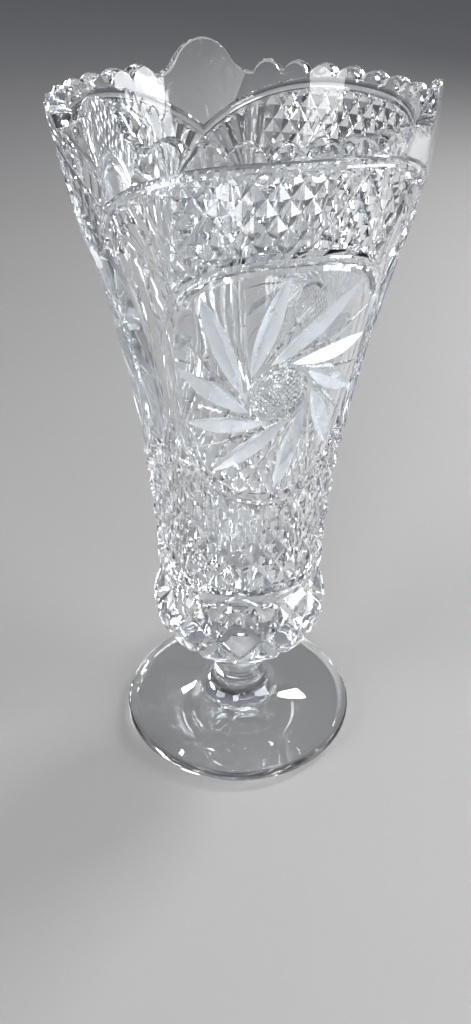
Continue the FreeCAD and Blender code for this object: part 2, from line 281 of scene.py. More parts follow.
def frame_ring(swing, climb):
    """1 on the medallion's outline, less inside it: a squared-off ellipse."""
    rise = height_at(climb) - FRAME_Z
    reach = abs(swing / FRAME_SWING) ** FRAME_POWER + abs(rise / FRAME_HALF) ** FRAME_POWER
    return reach ** (1 / FRAME_POWER)


class Lattice:
    """Two crossing families of V grooves that leave rows of pointed diamonds.

    `wide` is in degrees, `tall` and `depth` in millimetres, and `start` is the climb of one
    row of crossings.
    """

    def __init__(self, wide, tall, depth, start):
        self.wide, self.tall, self.depth, self.start = wide, tall, depth, start

    def families(self, swing, climb):
        """Two numbers that are whole on the grooves of the two families."""
        level = (climb - self.start) / self.tall
        return swing / self.wide + level, swing / self.wide - level

    def depth_at(self, swing, climb):
        gaps = [abs(value - round(value)) for value in self.families(swing, climb)]
        return self.depth * (1 - 2 * min(gaps))

    def ridges(self, low, high, reach):
        """The arrises of the diamonds, upright and level, covering a rectangle."""
        lines = []
        first = math.floor(2 * (low - self.start) / self.tall)
        last = math.ceil(2 * (high - self.start) / self.tall)
        for row in range(first, last + 1):
            climb = self.start + row * self.tall / 2
            lines.append(((-reach, climb), (reach, climb)))
        columns = math.ceil(reach / (self.wide / 2))
        for column in range(-columns, columns + 1):
            swing = column * self.wide / 2
            lines.append(((swing, low), (swing, high)))
        return lines

    def lines(self, low, high, reach, shifts=(0.0,)):
        """Ridges, and every groove once for each shift, as pairs of (swing, climb)."""
        lines = self.ridges(low, high, reach)
        span = math.ceil(reach / self.wide + (high - low) / self.tall) + 1
        middle = (low - self.start) / self.tall
        for number in range(-span, span + 1):
            for lean in (1, -1):
                for shift in shifts:
                    offset = round(lean * middle) + number + shift
                    ends = []
                    for climb in (low, high):
                        level = (climb - self.start) / self.tall
                        ends.append(((offset - lean * level) * self.wide, climb))
                    lines.append(tuple(ends))
        return lines


UPPER = Lattice(wide=PANEL_ANGLE / 18, tall=8.8, depth=1.75, start=climb_at(226.0))
LOWER = Lattice(wide=PANEL_ANGLE / 8, tall=10.5, depth=1.9, start=climb_at(100.0))


class Flute:
    """A fan of V flutes spreading upward from a point on a medallion's shoulder."""

    pitch = (FAN_LAST - FAN_FIRST) / FAN_FLUTES

    @staticmethod
    def polar(swing, climb):
        """Distance and direction from the fan's foot; 0 is up, positive to the corner."""
        side = across(abs(swing) - FAN_SWING, climb)
        rise = climb - climb_at(FAN_Z)
        return math.hypot(side, rise), math.atan2(side, rise) / DEGREE

    @staticmethod
    def spot(distance, direction, mirror):
        """The (swing, climb) of a point of the fan, on the side that mirror gives."""
        climb = climb_at(FAN_Z) + distance * math.cos(direction * DEGREE)
        side = distance * math.sin(direction * DEGREE)
        return mirror * (FAN_SWING + side / across(1, climb)), climb

    @classmethod
    def depth_at(cls, swing, climb):
        distance, direction = cls.polar(swing, climb)
        place = (direction - FAN_FIRST) / cls.pitch
        off = abs(place - round(place)) * cls.pitch * DEGREE
        return EDGE_DEPTH - FLUTE_SLOPE * distance * math.sin(off)


def region(swing, climb):
    """Name of the field that a point of the sheet lies in."""
    side = abs(swing)
    height = height_at(climb)
    if height > arc_height(swing):
        return "rim"
    if height > arc_height(swing) - BAND_WIDTH:
        return "band"
    if frame_ring(swing, climb) < 1:
        return "medallion"
    if height < LOWER_END:
        return "neck" if height > NECK_LOW else "bulb"
    if height < FRAME_Z and (height < STRIP_LOW or side < FRAME_SWING * STRIP_SHARE):
        return "lower"
    _, direction = Flute.polar(swing, climb)
    if direction < FAN_FIRST and height > FRAME_Z:
        return "upper"
    if direction < FAN_LAST and height > FAN_Z:
        return "fan"
    return "strip"


def edge_gap(swing, climb):
    """Distance to the nearest groove that bounds a field, about right in millimetres."""
    height = height_at(climb)
    gaps = [
        (arc_height(swing) - BAND_WIDTH - height) * ARC_LEAN,
        (frame_ring(swing, climb) - 1) * FRAME_REACH,
        height - LOWER_END,
    ]
    side = abs(swing)
    distance, direction = Flute.polar(swing, climb)
    if height > FAN_Z:
        for bound in (FAN_FIRST, FAN_LAST):
            gaps.append(distance * abs(math.sin((direction - bound) * DEGREE)))
        if FAN_FIRST < direction < FAN_LAST:
            gaps.append(across(HALF_PANEL - side, climb))
    if side > FRAME_SWING * STRIP_SHARE and height < FRAME_Z:
        gaps.append(abs(height - STRIP_LOW))
    return max(0.0, min(gaps))


def edge_mitre(swing, climb):
    """Depth left by the flank of the nearest groove that bounds a field."""
    return EDGE_DEPTH - EDGE_SLOPE * edge_gap(swing, climb)


def strip_depth(swing, climb):
    """Depth left by the nearest upright flute."""
    off = min(abs(across(abs(swing) - groove, climb)) for groove in STRIP_GROOVES)
    return STRIP_DEPTH - STRIP_SLOPE * off


# ---------------------------------------------------------------- medallion

HUB_CLIMB = climb_at(HUB_Z)
PETALS = 10
FIRST_PETAL = 77.0      # direction of the first petal, in degrees up from the right
HUB_OFFSET = 10.5       # every petal's line passes this far from the hub's middle
PETAL_START, PETAL_LENGTH = 4.5, 37.5
PETAL_WIDTH, PETAL_DEPTH = 6.3, 2.4
RAY_START, RAY_LENGTH = 3.0, 40.0       # fine rays halfway between the petals
RAY_WIDTH, RAY_DEPTH = 1.2, 0.55
BLADE_SHORTEST, BLADE_TRIM = 5, 0.25    # one that meets the bead is trimmed in these steps
BLADE_MARGIN = 0.012                    # it stops this far inside BEAD_FOOT
BLADE_POWER = 0.75                      # under 1, so that it is full along most of its length
HUB_PITCH, HUB_DEPTH = 2.1, 0.5
HUB_GROOVE, HUB_SLOPE = 0.2, 0.9        # the groove round the hub: its extra depth, its flank
HUB_RIM_WIDTH = 1.2
HUB_EDGE, HUB_CLEAR = 0.02, 0.05        # its cuts and their creases stop this far inside it


def flat_spot(right, up):
    """(swing, climb) of a point given in millimetres from the hub of the pinwheel."""
    climb = HUB_CLIMB + up
    return right / across(1, climb), climb


def from_hub(swing, climb):
    """Millimetres to the right of the hub and above it."""
    return across(swing, climb), climb - HUB_CLIMB


class Blade:
    """A V cut along a line near the hub, widest and deepest in its middle."""

    def __init__(self, direction, offset, start, length, width, depth):
        turn = direction * DEGREE
        self.along = Vector((math.cos(turn), math.sin(turn)))
        self.left = Vector((-self.along.y, self.along.x))
        self.origin = self.left * offset
        self.start, self.width, self.depth = start, width, depth
        while length > BLADE_SHORTEST and not self.fits(start + length):
            length -= BLADE_TRIM
        self.length = length

    def fits(self, distance):
        """True where its line is still clear of the medallion's bead."""
        spot = self.origin + self.along * distance
        return frame_ring(*flat_spot(spot.x, spot.y)) < BEAD_FOOT - BLADE_MARGIN

    def swell(self, distance):
        """Its width and depth at a distance, as a share of the widest and deepest."""
        share = (distance - self.start) / self.length
        if not 0 < share < 1:
            return 0.0
        return math.sin(math.pi * share) ** BLADE_POWER

    def depth_at(self, right, up):
        gap = Vector((right, up)) - self.origin
        distance, off = gap.dot(self.along), abs(gap.dot(self.left))
        swell = self.swell(distance)
        half = self.width / 2 * swell
        if half <= 0 or off >= half:
            return 0.0
        return self.depth * swell * (1 - off / half)

    def lines(self, steps=14):
        """The crease and the two edges, as lists of (swing, climb)."""
        crease, left, right = [], [], []
        for step in range(steps + 1):
            share = 0.5 - 0.5 * math.cos(math.pi * step / steps)
            distance = self.start + self.length * share
            half = self.width / 2 * self.swell(distance)
            middle = self.origin + self.along * distance
            for line, side in ((crease, 0), (left, half), (right, -half)):
                spot = middle + self.left * side
                line.append(flat_spot(spot.x, spot.y))
        return [crease, left, right]


def make_blades(first, *shape):
    """A ring of equal cuts round the hub, the first of them in the direction `first`."""
    return [Blade(first + 360 * number / PETALS, HUB_OFFSET, *shape) for number in range(PETALS)]


PETAL_CUTS = make_blades(FIRST_PETAL, PETAL_START, PETAL_LENGTH, PETAL_WIDTH, PETAL_DEPTH)
RAY_CUTS = make_blades(FIRST_PETAL + 180 / PETALS, RAY_START, RAY_LENGTH, RAY_WIDTH, RAY_DEPTH)
BLADES = [blade for pair in zip(PETAL_CUTS, RAY_CUTS) for blade in pair]
HUB = Lattice(HUB_PITCH / across(1, HUB_CLIMB), HUB_PITCH, HUB_DEPTH, HUB_CLIMB)


def medallion_depth(swing, climb):
    """Depth of the bead, the hub, the petals or the field round them."""
    ring = frame_ring(swing, climb)
    if ring > BEAD_FOOT:
        steps = [(1.0, EDGE_DEPTH)] + BEAD + [(BEAD_FOOT, FIELD_DEPTH)]
        for (outer, high), (inner, low) in zip(steps, steps[1:]):
            if ring >= inner:
                share = (outer - ring) / (outer - inner)
                return high + (low - high) * share
    right, up = from_hub(swing, climb)
    reach = math.hypot(right, up)
    groove = HUB_DEPTH + HUB_GROOVE
    if reach < HUB_RADIUS - HUB_EDGE:
        flank = groove - (HUB_RADIUS - reach) * HUB_SLOPE
        return FIELD_DEPTH + max(HUB.depth_at(swing, climb), flank)
    if reach < HUB_RADIUS + HUB_RIM_WIDTH:
        return FIELD_DEPTH + groove * (1 - (reach - HUB_RADIUS) / HUB_RIM_WIDTH)
    return FIELD_DEPTH + max(blade.depth_at(right, up) for blade in BLADES)


def is_satin(swing, climb):
    """True in the petals, which get a lightly frosted look of their own."""
    if region(swing, climb) != "medallion" or frame_ring(swing, climb) > BEAD_FOOT:
        return False
    right, up = from_hub(swing, climb)
    if math.hypot(right, up) < HUB_RADIUS:
        return False
    return any(petal.depth_at(right, up) > 0 for petal in PETAL_CUTS)


# ---------------------------------------------------------------- bulb

BULB_LOW, BULB_HIGH = 4.0, climb_at(NECK_LOW)   # climbs between which the bulb is cut
BULB_FADE_LOW, BULB_FADE_HIGH = 5.0, 2.5        # the grooves run out over these lengths
BULB_GROOVE = 0.17                              # half a groove's width, as a share of `wide`
BULB_CROSSING = 61.0                            # height of a row of crossings
BULB_DEPTH = 1.0
BULB = Lattice(PANEL_ANGLE / 4, tall=24.0, depth=BULB_DEPTH, start=climb_at(BULB_CROSSING))


def bulb_depth(swing, climb):
    """Depth of the grooves that leave large smooth lozenges on the bulb."""
    fade = min(
        1.0, (climb - BULB_LOW) / BULB_FADE_LOW, (BULB_HIGH - climb) / BULB_FADE_HIGH
    )
    if fade <= 0:
        return 0.0
    gaps = [abs(value - round(value)) for value in BULB.families(swing, climb)]
    return BULB_DEPTH * fade * max(0.0, 1 - min(gaps) / BULB_GROOVE)


# ---------------------------------------------------------------- depth of every point

def cut_depth(swing, climb):
    """How deep the finished surface lies under the round blank."""
    height = height_at(climb)
    field = region(swing, climb)
    facet = facet_depth(swing, climb)
    if field == "rim":
        return facet
    if field == "band":
        share = (arc_height(swing) - height) / BAND_WIDTH
        steps = BAND + [(1.0, EDGE_DEPTH)]
        for (outer, high), (inner, low) in zip(steps, steps[1:]):
            if share <= inner:
                return facet + high + (low - high) * (share - outer) / (inner - outer)
    if field == "medallion":
        return medallion_depth(swing, climb)
    if field == "bulb":
        return bulb_depth(swing, climb)
    if field == "neck":
        lip = (height - LOWER_LIP) / (LOWER_END - LOWER_LIP)
        return max(0.0, EDGE_DEPTH * lip)
    depth = max(TOP_GAP, edge_mitre(swing, climb))
    if field == "upper":
        depth = max(depth, UPPER.depth_at(swing, climb))
    elif field == "lower":
        depth = max(depth, LOWER.depth_at(swing, climb))
    elif field == "fan":
        depth = max(depth, Flute.depth_at(swing, climb))
    else:
        depth = max(depth, strip_depth(swing, climb))
    return facet + depth


# ---------------------------------------------------------------- flat sheet of one panel

SHEET_SCALE = 0.8       # millimetres per degree on the flat sheet
SNAP = 0.002            # points closer than this, in millimetres, become one
NEAR_EDGE = 2.4         # a field's edge grooves reach this far in
EDGE_STEP = 1.5         # between points along the curved edges of the band and the facets
LEVEL_STEP = 2.0        # between points along the straight edges of the sheet
FINE_STEP = 0.7         # between points of a groove where it is close to its field's edge
SHORTEST = 0.15         # shorter stretches of a groove are left out
CUT_STEP = 50           # so long that a straight groove gets hardly a point between its ends
BULB_STEP = 1.8         # between points of the bulb's grooves, which bend with the blank
LOOSE_STEP, LOOSE_CLEAR = 2.4, 1.3      # loose points: their pitch, their gap to a crease
SEAM_CLEAR, RIM_CLEAR = 1, 0.8          # and how far they keep from the seams and the rim
RIM_SOFT = 0.45         # how much lower the rim's outer and inner arrises are than its crest
ROUNDING = 1e-6         # a count this little over a whole number is that number


def spread(start, finish, step):
    """Evenly spaced values from start to finish, both included."""
    count = max(1, math.ceil(abs(finish - start) / step - ROUNDING))
    return [start + (finish - start) * number / count for number in range(count + 1)]


def rim_climb(swing):
    """Climb of the rim's outer arris."""
    return climb_at(rim_height(swing) - RIM_SOFT)


RIM_LINE = [(swing, rim_climb(swing)) for swing in rim_swings()]
HALVINGS = 14


class Sheet:
    """Points and creases of one flat panel, waiting to be cut into triangles."""

    def __init__(self):
        self.spots = []
        self.creases = []

    def crease(self, spots, closed=False):
        """A line of points that the triangles have to follow."""
        first = len(self.spots)
        self.spots += spots
        count = len(spots)
        self.creases += [(first + step, first + step + 1) for step in range(count - 1)]
        if closed:
            self.creases.append((first + count - 1, first))

    def level(self, climb):
        """A crease straight across the panel."""
        self.crease([(swing, climb) for swing in spread(-HALF_PANEL, HALF_PANEL, LEVEL_STEP)])

    def clipped(self, lines, inside, longest=3.0, sample=0.3):
        """The parts of straight lines that lie inside a field.

        Each line is tested every `sample` millimetres, and where the answer changes the
        crossing is found by halving. Points are at most `longest` apart.
        """
        for start, finish in lines:
            rise = finish[1] - start[1]
            size = math.hypot((finish[0] - start[0]) * SHEET_SCALE, rise)
            shares = spread(0.0, 1.0, sample / max(size, sample))

            def at(share):
                return (start[0] + (finish[0] - start[0]) * share, start[1] + rise * share)

            def crossing(out, within):
                for _ in range(HALVINGS):
                    middle = (out + within) / 2
                    if inside(*at(middle)):
                        within = middle
                    else:
                        out = middle
                return (out + within) / 2

            flags = [inside(*at(share)) for share in shares]
            opened = 0.0 if flags[0] else None
            for (before, was), (after, now) in zip(
                zip(shares, flags), zip(shares[1:], flags[1:])
            ):
                if now and not was:
                    opened = crossing(before, after)
                if was and not now:
                    self.stretch(at, opened, crossing(after, before), size, longest)
            if flags[-1]:
                self.stretch(at, opened, 1.0, size, longest)

    def stretch(self, at, first, last, size, longest):
        """One kept part of a line, with more points close to the field's edge."""
        if (last - first) * size < SHORTEST:
            return
        shares = spread(first, last, longest / size)
        shares += [
            share for share in spread(first, last, FINE_STEP / size)
            if edge_gap(*at(share)) < NEAR_EDGE
        ]
        self.crease([at(share) for share in sorted(set(shares))])

    def fill(self, inside):
        """Loose points in a smooth field, kept off the creases."""
        def cell(swing, climb):
            return round(swing * SHEET_SCALE / LOOSE_CLEAR), round(climb / LOOSE_CLEAR)

        taken = {cell(*spot) for spot in self.spots}
        rows = spread(0.0, climb_at(TOP_Z), LOOSE_STEP)
        for number, climb in enumerate(rows):
            shift = LOOSE_STEP / 2 / SHEET_SCALE if number % 2 else 0.0
            for start in spread(-HALF_PANEL, HALF_PANEL, LOOSE_STEP / SHEET_SCALE):
                swing = start + shift
                if abs(swing) >= HALF_PANEL - SEAM_CLEAR or not inside(swing, climb):
                    continue
                if cell(swing, climb) not in taken:
                    self.spots.append((swing, climb))

    def triangles(self):
        """Points of the finished sheet, and its triangles as triples of their numbers."""
        flat = [Vector((swing * SHEET_SCALE, climb)) for swing, climb in self.spots]
        points, _, faces, *_ = delaunay_2d_cdt(flat, self.creases, [], 0, SNAP)
        spots = [(point.x / SHEET_SCALE, point.y) for point in points]
        return spots, faces


def frame_loop(ring, count=190):
    """Points round the medallion at one value of frame_ring."""
    spots = []
    for step in range(count):
        turn = 2 * math.pi * step / count
        wide, high = math.cos(turn), math.sin(turn)
        reach = (abs(wide) ** FRAME_POWER + abs(high) ** FRAME_POWER) ** (-1 / FRAME_POWER)
        swing = FRAME_SWING * ring * wide * reach
        spots.append((swing, climb_at(FRAME_Z + FRAME_HALF * ring * high * reach)))
    return spots


def hub_loop(radius, count=48):
    """Points of a circle round the hub."""
    spots = []
    for step in range(count):
        turn = 2 * math.pi * step / count
        spots.append(flat_spot(radius * math.cos(turn), radius * math.sin(turn)))
    return spots


def facet_edge(side):
    """Where a flat corner facet runs out into the round of the bowl."""
    spots = []
    for height in spread(FACET_END, rim_height(HALF_PANEL) - RIM_SOFT, EDGE_STEP):
        radius = radius_at(climb_at(height))
        flat = facet_reach(height)
        if radius > flat:
            swing = HALF_PANEL - math.acos(flat / radius) / DEGREE
            if height < rim_height(swing) - RIM_SOFT:
                spots.append((side * swing, climb_at(height)))
    return spots


def within(*names):
    """A test for points of the sheet that lie in any of the named fields."""
    return lambda swing, climb: (
        0 < climb < climb_at(TOP_Z) and abs(swing) <= HALF_PANEL
        and region(swing, climb) in names
    )


def draw_rim(sheet):
    """The rim's edge, the hollow band under it and the ends of the corner facets."""
    sheet.crease(RIM_LINE)
    for share in [share for share, _ in BAND] + [1.0]:
        sheet.crease([
            (swing, climb_at(arc_height(swing) - share * BAND_WIDTH))
            for swing in spread(-HALF_PANEL, HALF_PANEL, EDGE_STEP)
        ])
    for side in (1, -1):
        sheet.crease(facet_edge(side))


def draw_diamonds(sheet):
    """The raised diamonds above and below the medallion."""
    upper = UPPER.lines(climb_at(UPPER_LOW), climb_at(ARC_TOP), UPPER_REACH)
    sheet.clipped(upper, within("upper"), longest=CUT_STEP)
    lower = LOWER.lines(climb_at(LOWER_END), climb_at(FRAME_Z), HALF_PANEL)
    sheet.clipped(lower, within("lower"), longest=CUT_STEP)


def draw_flutes(sheet, mirror):
    """The fan on one shoulder of the medallion and the upright flutes on that side."""
    fan = within("fan", "upper", "strip")
    for step in range(2 * FAN_FLUTES + 1):
        direction = FAN_FIRST + (FAN_LAST - FAN_FIRST) * step / (2 * FAN_FLUTES)
        line = [
            Flute.spot(distance, direction, mirror)
            for distance in spread(FLUTE_START, FLUTE_END, FLUTE_STEP)
        ]
        sheet.clipped(list(zip(line, line[1:])), fan, sample=0.2)
    low, high = climb_at(STRIP_LOW), climb_at(STRIP_HIGH)
    for groove in STRIP_GROOVES:
        for swing in (groove, groove + STRIP_RIDGE):
            sheet.clipped([((mirror * swing, low), (mirror * swing, high))], within("strip"))
    closing = ((mirror * STRIP_EDGE, low), (mirror * HALF_PANEL, low + STRIP_LEAN))
    sheet.clipped([closing], within("strip", "lower"))


def draw_medallion(sheet):
    """The bead, the petals and rays, and the cross-cut hub with the groove round it."""
    for ring in [1.0] + [ring for ring, _ in BEAD] + [BEAD_FOOT]:
        sheet.crease(frame_loop(ring), closed=True)
    for blade in BLADES:
        for line in blade.lines():
            sheet.crease(line)
    sheet.crease(hub_loop(HUB_RADIUS), closed=True)
    sheet.crease(hub_loop(HUB_RADIUS + HUB_RIM_WIDTH), closed=True)
    reach = HUB_RADIUS / across(1, HUB_CLIMB)
    lines = HUB.lines(HUB_CLIMB - HUB_RADIUS, HUB_CLIMB + HUB_RADIUS, reach)
    sheet.clipped(
        lines, lambda swing, climb: math.hypot(*from_hub(swing, climb)) < HUB_RADIUS - HUB_CLEAR,
        longest=CUT_STEP,
    )


def draw_bulb(sheet):
    """The edges of the neck, and the bulb's grooves."""
    for height in (NECK_HIGH, BODY_LOW, LOWER_LIP, LOWER_END):
        sheet.level(climb_at(height))
    fades = (BULB_LOW + BULB_FADE_LOW, BULB_HIGH - BULB_FADE_HIGH)
    for climb in (0.0, BULB_LOW, *fades, BULB_HIGH):
        sheet.level(climb)
    lines = BULB.lines(BULB_LOW, BULB_HIGH, HALF_PANEL, (0.0, BULB_GROOVE, -BULB_GROOVE))
    sheet.clipped(
        lines, lambda swing, climb: abs(swing) <= HALF_PANEL and BULB_LOW < climb < BULB_HIGH,
        longest=BULB_STEP,
    )


def draw_panel():
    """The whole flat sheet of one panel."""
    sheet = Sheet()
    for side in (1, -1):
        climbs = spread(0.0, rim_climb(HALF_PANEL), LEVEL_STEP)
        sheet.crease([(side * HALF_PANEL, climb) for climb in climbs])
    draw_rim(sheet)
    draw_diamonds(sheet)
    for mirror in (1, -1):
        draw_flutes(sheet, mirror)
    draw_medallion(sheet)
    draw_bulb(sheet)
    sheet.fill(
        lambda swing, climb: climb < rim_climb(swing) - RIM_CLEAR
        and region(swing, climb) in ("rim", "medallion", "neck", "bulb")
    )
    return sheet


# ---------------------------------------------------------------- meshes

INNER_STEP = 5.0        # between points down the inside
MOUTH_STEPS = (0.08, 0.22, 0.5, 0.78, 0.92)     # shares of the way over the rim
MOUTH_POWER = 2.5       # how square the rim's edge is, from outside to inside
WELD = 0.01             # points of neighbouring panels closer than this are joined
ARRIS_ANGLE = 11        # sharper folds than this, in degrees, stay sharp
ON_RIM = 0.01           # a point this close to the rim's edge is on it
SLIVER = 0.0005         # triangles centred closer to the sheet's border lie outside it
CLEAR_FACE, SATIN_FACE = 0, 1           # the bowl's materials, by number


def wrap(swing, radius, height, panel=0):
    """A point on the finished vase, in metres."""
    turn = (FRONT + swing + panel * PANEL_ANGLE) * DEGREE
    return Vector((radius * math.cos(turn), radius * math.sin(turn), height)) * MM


def carve(swing, climb):
    """Radius and height of the cut surface."""
    point, normal = along(OUTSIDE, climb)
    depth = cut_depth(swing, climb)
    flat = facet_depth(swing, climb)
    return point.x - flat - normal.x * (depth - flat), point.y - normal.y * (depth - flat)


def inner_column(swing, outer):
    """Radius and height of points over the rim and down the inside to the well's floor."""
    crest = rim_height(swing)
    inner_radius, _ = along(INSIDE, climb_at(crest - RIM_SOFT, INSIDE))[0]
    column = [outer]
    for share in MOUTH_STEPS:
        height = crest - RIM_SOFT * abs(2 * share - 1) ** MOUTH_POWER
        column.append((outer[0] + (inner_radius - outer[0]) * share, height))
    for climb in reversed(spread(0.0, climb_at(crest - RIM_SOFT, INSIDE), INNER_STEP)):
        column.append(tuple(along(INSIDE, climb)[0]))
    return column


def weld(bm, name):
    """Joins the panels' shared edges and makes the object, smooth except at the arrises."""
    bmesh.ops.remove_doubles(bm, verts=bm.verts, dist=WELD * MM)
    bmesh.ops.recalc_face_normals(bm, faces=bm.faces)
    mesh = bpy.data.meshes.new(name)
    bm.to_mesh(mesh)
    bm.free()
    mesh.shade_smooth()
    mesh.set_sharp_from_angle(angle=ARRIS_ANGLE * DEGREE)
    obj = bpy.data.objects.new(name, mesh)
    bpy.context.scene.collection.objects.link(obj)
    return obj


def line_climb(swing):
    """Climb of the rim's edge at a swing, along the straight stretches between its points."""
    for (start, low), (finish, high) in zip(RIM_LINE, RIM_LINE[1:]):
        if start <= swing <= finish:
            return low + (high - low) * (swing - start) / (finish - start)
    return RIM_LINE[-1][1]


def panel_faces():
    """One panel's points and triangles, with True for each triangle that is satin."""
    spots, faces = draw_panel().triangles()
    spots = [
        (math.copysign(HALF_PANEL, swing) if abs(swing) > HALF_PANEL - SNAP else swing, climb)
        for swing, climb in spots
    ]
    kept, satin = [], []
    for face in faces:
        swing = sum(spots[index][0] for index in face) / len(face)
        climb = sum(spots[index][1] for index in face) / len(face)
        if (SLIVER < climb < line_climb(swing) - SLIVER
                and abs(swing) < HALF_PANEL - SLIVER):
            kept.append(face)
            satin.append(is_satin(swing, climb))
    return spots, kept, satin


def on_line(spots, offset, near):
    """Numbers of the points whose offset from a line is small, in order round the panel."""
    found = [index for index, spot in enumerate(spots) if abs(offset(*spot)) < near]
    return sorted(found, key=lambda index: spots[index][0])


def make_bowl():
    """The bowl: three panels of cut wall, each with its share of the base and the well."""
    spots, faces, satin = panel_faces()
    carved = [carve(*spot) for spot in spots]
    rim = on_line(spots, lambda swing, climb: climb - line_climb(swing), ON_RIM)
    base = on_line(spots, lambda swing, climb: climb, SNAP)
    bm = bmesh.new()
    for panel in range(PANELS):
        verts = [bm.verts.new(wrap(spot[0], *carved[i], panel)) for i, spot in enumerate(spots)]
        for face, frosted in zip(faces, satin):
            made = bm.faces.new([verts[index] for index in face])
            made.material_index = SATIN_FACE if frosted else CLEAR_FACE
        underside = bm.verts.new((0, 0, BASE_Z * MM))
        for one, other in zip(base, base[1:]):
            bm.faces.new((verts[other], verts[one], underside))
        floor = bm.verts.new((0, 0, WELL_FLOOR * MM))
        columns = []
        for index in rim:
            swing = spots[index][0]
            rows = inner_column(swing, carved[index])
            columns.append([verts[index]] + [
                bm.verts.new(wrap(swing, radius, height, panel)) for radius, height in rows[1:]
            ])
        for one, other in zip(columns, columns[1:]):
            join_columns(bm, one, other, floor)
    loose = [vert for vert in bm.verts if not vert.link_faces]
    bmesh.ops.delete(bm, geom=loose, context="VERTS")
    return weld(bm, "cut_bowl")


def join_columns(bm, one, other, floor):
    """Faces between two columns that start at the rim and end at the well's floor."""
    for row in range(max(len(one), len(other)) - 1):
        corners = [
            one[min(row, len(one) - 1)], one[min(row + 1, len(one) - 1)],
            other[min(row + 1, len(other) - 1)], other[min(row, len(other) - 1)],
        ]
        corners = list(dict.fromkeys(corners))
        if len(corners) > 2:
            bm.faces.new(corners)
    bm.faces.new((one[-1], floor, other[-1]))


# ---------------------------------------------------------------- foot and stem

STEM_TOP, STEM_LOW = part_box("stem")[1].z / MM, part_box("stem")[0].z / MM
OVERLAP = 0.04          # glass runs on through the joints, so no joint shows as a mirror

FOOT_FACE = (40.6, 0.0)                 # radius and height of points up the foot
FOOT_LIFT = (44.6, 0.15)                # its face rises a little towards the edge
FOOT_EDGE, FOOT_DIP = (45.2, 4.75), (42.4, 3.6)
FOOT_SHOULDER, FOOT_TOP = (19.0, 8.6), (12.4, STEM_LOW)
EDGE_ROUND, DIP_ROUND, DOME_SWEEP, FOOT_NECK_SWEEP = 2.45, 1.75, 62.0, 15.4
STEM_WAIST, STEM_HEAD = (9.8, 25.5), (12.8, STEM_TOP)
STEM_LOW_SWEEP, STEM_HIGH_SWEEP = 20.0, 42.0
LATHE_STEP = 2.5

FOOT = [
    Run(FOOT_FACE, FOOT_LIFT),
    Run(FOOT_LIFT, FOOT_EDGE, EDGE_ROUND, 1),
    Run(FOOT_EDGE, FOOT_DIP, DIP_ROUND, 1),
    Run(FOOT_DIP, FOOT_SHOULDER, DOME_SWEEP, -1),
    Run(FOOT_SHOULDER, FOOT_TOP, FOOT_NECK_SWEEP, -1),
]
STEM = [
    Run(FOOT_TOP, STEM_WAIST, STEM_LOW_SWEEP, -1),
    Run(STEM_WAIST, STEM_HEAD, STEM_HIGH_SWEEP, -1),
]


def lathe(name, profile, low, high, columns=180):
    """A turned solid with flat ends at heights low and high."""
    outline = [(profile[0].start.x, low)]
    for run in profile:
        steps = spread(0.0, run.length, min(LATHE_STEP, run.length / 6))
        outline += [tuple(run.at(distance)[0]) for distance in steps[:-1]]
    outline += [tuple(profile[-1].finish), (profile[-1].finish.x, high)]
    outline = list(dict.fromkeys(outline))
    bm = bmesh.new()
    rings = []
    for radius, height in outline:
        rings.append([
            bm.verts.new(wrap(360 * number / columns, radius, height))
            for number in range(columns)
        ])
    for lower, upper in zip(rings, rings[1:]):
        for number in range(columns):
            beside = (number + 1) % columns
            bm.faces.new((lower[number], lower[beside], upper[beside], upper[number]))
    bm.faces.new(rings[0])
    bm.faces.new(rings[-1])
    return weld(bm, name)


# ---------------------------------------------------------------- materials

GLASS_IOR = 1.545
POLISH_SCALE, POLISH_DETAIL = 140.0, 3.0
POLISH_RANGE = (0.35, 0.65)             # values of the noise that get the two roughnesses
RIPPLE_DEPTH = 0.001
FLOOR_PALE, FLOOR_DULL = (0.46, 0.45, 0.44, 1), (0.41, 0.40, 0.39, 1)
FLOOR_ROUGH = 0.75


def node_material(name):
    """A new material with its node tree and its one shader."""
    material = bpy.data.materials.new(name)
    material.use_nodes = True
    return material, material.node_tree, material.node_tree.nodes["Principled BSDF"]


def noise(tree, scale, detail):
    """A noise fixed to the object, at this many cycles a metre."""
    texture = tree.nodes.new("ShaderNodeTexNoise")
    texture.inputs["Scale"].default_value = scale
    texture.inputs["Detail"].default_value = detail
    spot = tree.nodes.new("ShaderNodeTexCoord")
    tree.links.new(spot.outputs["Object"], texture.inputs["Vector"])
    return texture.outputs["Fac"]


def crystal(name, tint, rough, ripple, ripple_scale, clear=1.0):
    """Lead glass with a faintly uneven polish and a slow ripple, `clear` or partly frosted."""
    material, tree, shader = node_material(name)
    shader.inputs["Base Color"].default_value = tint
    shader.inputs["Transmission Weight"].default_value = clear
    shader.inputs["IOR"].default_value = GLASS_IOR
    polish = tree.nodes.new("ShaderNodeMapRange")
    polish.inputs["From Min"].default_value, polish.inputs["From Max"].default_value = POLISH_RANGE
    polish.inputs["To Min"].default_value, polish.inputs["To Max"].default_value = rough
    tree.links.new(noise(tree, POLISH_SCALE, POLISH_DETAIL), polish.inputs["Value"])
    tree.links.new(polish.outputs["Result"], shader.inputs["Roughness"])
    bump = tree.nodes.new("ShaderNodeBump")
    bump.inputs["Strength"].default_value = ripple
    bump.inputs["Distance"].default_value = RIPPLE_DEPTH
    tree.links.new(noise(tree, ripple_scale, detail=1.0), bump.inputs["Height"])
    tree.links.new(bump.outputs["Normal"], shader.inputs["Normal"])
    return material


